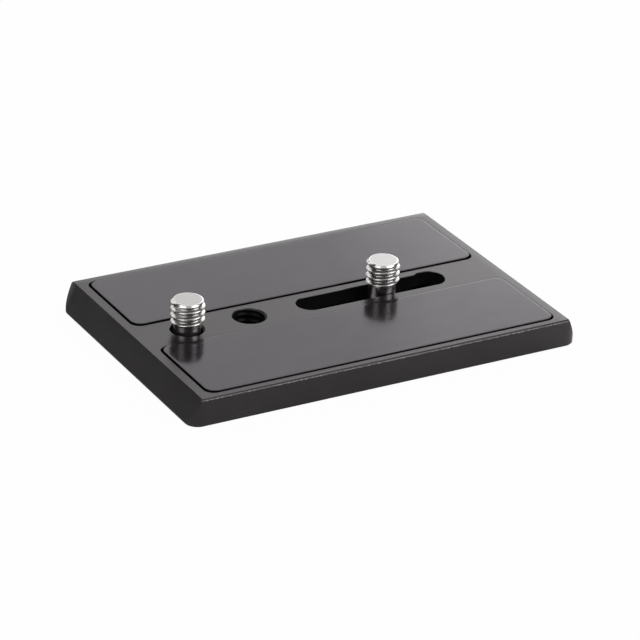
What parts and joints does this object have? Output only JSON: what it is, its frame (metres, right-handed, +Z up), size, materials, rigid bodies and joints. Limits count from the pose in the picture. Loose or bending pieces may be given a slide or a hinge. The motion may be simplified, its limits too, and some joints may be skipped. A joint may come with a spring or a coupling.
{
  "type": "tripod quick release plate",
  "caption": "Low metal plate with sloping ends, grip pads either side of a metal strip, and captive camera screws, one of them sliding in a keyhole slot.",
  "frame": {"origin": "centre of the plate's footprint, on the surface that it stands on", "axes": "+X along the row of holes from the turning screw to the slot, +Y from the front pad to the rear pad, +Z up along the screws"},
  "size_m": [0.08, 0.0522, 0.0114],
  "materials": {
    "anodised_plate": "black anodised, fine satin",
    "grip_rubber": "smooth, slightly glossy black rubber",
    "bright_steel": "bright turned stainless steel"
  },
  "bodies": {
    "plate": {"plate_body": "anodised_plate", "rear_pad": "grip_rubber", "front_pad": "grip_rubber"},
    "fixed_screw": {"fixed_screw": "bright_steel"},
    "slot_screw": {"slot_screw": "bright_steel"}
  },
  "joints": [
    {"name": "fixed_screw_turn", "type": "hinge", "parent": "plate", "child": "fixed_screw", "pos_m": [-0.02766, -0.0005, 0.005], "axis": [0, 0, 1], "continuous": true},
    {"name": "slot_screw_slide", "type": "slide", "parent": "plate", "child": "slot_screw", "axis": [1, 0, 0], "range_m": [-0.01521, 0.01038]}
  ]
}
